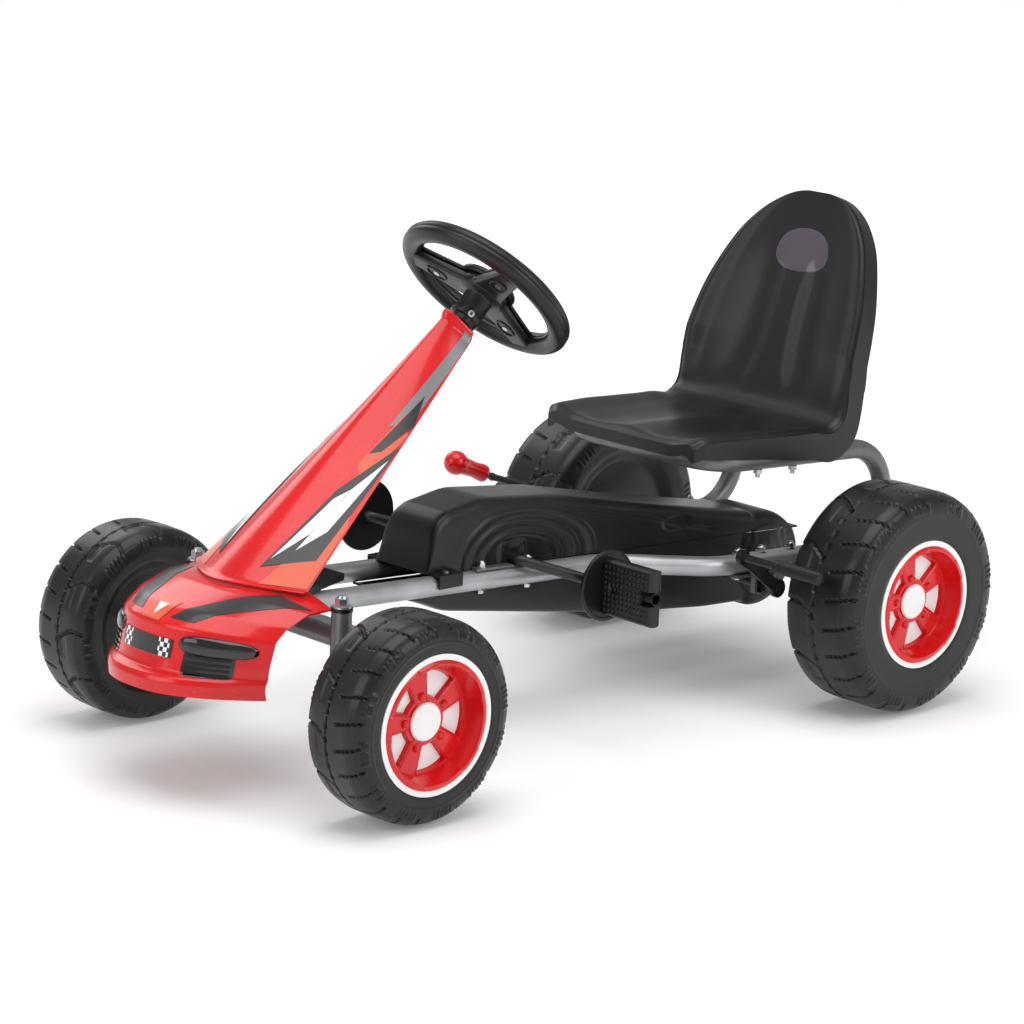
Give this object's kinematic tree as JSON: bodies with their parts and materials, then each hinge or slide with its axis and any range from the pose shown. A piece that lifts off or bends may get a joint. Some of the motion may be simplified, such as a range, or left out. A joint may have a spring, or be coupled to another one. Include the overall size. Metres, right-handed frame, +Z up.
{
  "type": "pedal go kart",
  "caption": "Child's four-wheeled pedal go kart with a steering wheel, chain drive in a plastic case, bucket seat and hand brake lever.",
  "frame": {"origin": "on the ground under the middle of the bounding box", "axes": "+Z up, -Y towards the nose, +X towards the rider's left"},
  "size_m": [0.646, 1.147, 0.621],
  "materials": {
    "rail_steel": "silver paint",
    "column_steel": "polished",
    "grey_steel": "satin grey paint",
    "zinc_steel": "zinc plated",
    "chain_steel": "oiled",
    "black_steel": "black powder coat",
    "red_plastic": "gloss red",
    "white_plastic": "gloss white",
    "lens_plastic": "gloss black",
    "plate_plastic": "printed black and white",
    "badge_plastic": "grey violet label",
    "wheel_plastic": "satin black",
    "black_plastic": "satin black"
  },
  "bodies": {
    "chassis": {"rail_left": "rail_steel", "rail_right": "rail_steel", "front_beam": "grey_steel", "kingpin_bushes": "black_plastic", "column_support": "grey_steel", "column_bushes": "black_plastic", "nose_body": "red_plastic", "column_cover": "red_plastic", "headlights": "lens_plastic", "grilles": "black_plastic", "number_plate": "plate_plastic", "hood_rear_cap": "black_plastic", "chain_cover": "black_plastic", "chain_tray": "black_plastic", "crank_hangers": "grey_steel", "axle_hangers": "grey_steel", "shaft_bushes": "black_plastic", "drive_chain": "chain_steel", "seat_hoop": "grey_steel", "seat_shell": "black_plastic", "seat_badge": "badge_plastic", "seat_bolts": "zinc_steel", "frame_bolts": "zinc_steel", "cover_screws": "zinc_steel", "brake_hangers": "grey_steel"},
    "steering": {"steering_column": "column_steel", "steering_wheel_front": "black_plastic", "steering_wheel_back": "black_plastic", "steering_screws": "zinc_steel"},
    "link": {"steering_link": "zinc_steel"},
    "knuckle_left": {"knuckle_left": "grey_steel", "kingpin_nuts_left": "zinc_steel"},
    "knuckle_right": {"knuckle_right": "grey_steel", "kingpin_nuts_right": "zinc_steel"},
    "wheel_front_left": {"front_left_tyre": "wheel_plastic", "front_left_rim": "red_plastic", "front_left_disc": "white_plastic", "front_left_cap": "white_plastic"},
    "wheel_front_right": {"front_right_tyre": "wheel_plastic", "front_right_rim": "red_plastic", "front_right_disc": "white_plastic", "front_right_cap": "white_plastic"},
    "crank": {"crankshaft": "black_steel", "crank_sprocket": "chain_steel"},
    "pedal_left": {"pedal_left": "black_plastic"},
    "pedal_right": {"pedal_right": "black_plastic"},
    "axle": {"rear_axle": "zinc_steel", "axle_sprocket": "chain_steel", "rear_axle_nuts": "zinc_steel", "rear_left_tyre": "wheel_plastic", "rear_left_rim": "red_plastic", "rear_left_disc": "white_plastic", "rear_left_cap": "white_plastic"},
    "wheel_rear_right": {"rear_right_tyre": "wheel_plastic", "rear_right_rim": "red_plastic", "rear_right_disc": "white_plastic", "rear_right_cap": "white_plastic"},
    "brake": {"brake_shaft": "black_steel", "brake_grip": "red_plastic", "brake_sleeves": "black_plastic"}
  },
  "joints": [
    {"name": "steering_turn", "type": "hinge", "parent": "chassis", "child": "steering", "pos_m": [0, -0.36775, 0.204], "axis": [0, 0.7009, 0.7132], "range_deg": [-27, 27]},
    {"name": "knuckle_left_turn", "type": "hinge", "parent": "chassis", "child": "knuckle_left", "pos_m": [0.1306, -0.36775, 0.12], "axis": [0, 0, 1], "range_deg": [-31, 31]},
    {"name": "knuckle_right_turn", "type": "hinge", "parent": "chassis", "child": "knuckle_right", "pos_m": [-0.1306, -0.36775, 0.12], "axis": [0, 0, 1], "range_deg": [-31, 31]},
    {"name": "link_swing", "type": "hinge", "parent": "knuckle_left", "child": "link", "pos_m": [0.1306, -0.32275, 0.178], "axis": [0, 0, 1], "range_deg": [-31, 31]},
    {"name": "front_left_spin", "type": "hinge", "parent": "knuckle_left", "child": "wheel_front_left", "pos_m": [0.25, -0.36775, 0.12], "axis": [1, 0, 0], "continuous": true},
    {"name": "front_right_spin", "type": "hinge", "parent": "knuckle_right", "child": "wheel_front_right", "pos_m": [-0.25, -0.36775, 0.12], "axis": [1, 0, 0], "continuous": true},
    {"name": "axle_spin", "type": "hinge", "parent": "chassis", "child": "axle", "pos_m": [0, 0.43025, 0.1435], "axis": [1, 0, 0], "continuous": true},
    {"name": "rear_right_spin", "type": "hinge", "parent": "axle", "child": "wheel_rear_right", "pos_m": [-0.26, 0.43025, 0.1435], "axis": [1, 0, 0], "continuous": true},
    {"name": "crank_spin", "type": "hinge", "parent": "chassis", "child": "crank", "pos_m": [0, -0.02375, 0.20958], "axis": [1, 0, 0], "continuous": true},
    {"name": "pedal_left_spin", "type": "hinge", "parent": "crank", "child": "pedal_left", "pos_m": [0.168, 0.06135, 0.18028], "axis": [1, 0, 0], "continuous": true},
    {"name": "pedal_right_spin", "type": "hinge", "parent": "crank", "child": "pedal_right", "pos_m": [-0.168, -0.10885, 0.23888], "axis": [1, 0, 0], "continuous": true},
    {"name": "brake_pull", "type": "hinge", "parent": "chassis", "child": "brake", "pos_m": [0, 0.33625, 0.143], "axis": [-1, 0, 0], "range_deg": [0, 25]}
  ],
  "couplings": [
    {"joint": "knuckle_left_turn", "follows": "steering_turn", "ratio": 1.1182},
    {"joint": "knuckle_right_turn", "follows": "steering_turn", "ratio": 1.1182},
    {"joint": "link_swing", "follows": "steering_turn", "ratio": -1.1182},
    {"joint": "crank_spin", "follows": "axle_spin", "ratio": 0.5}
  ]
}
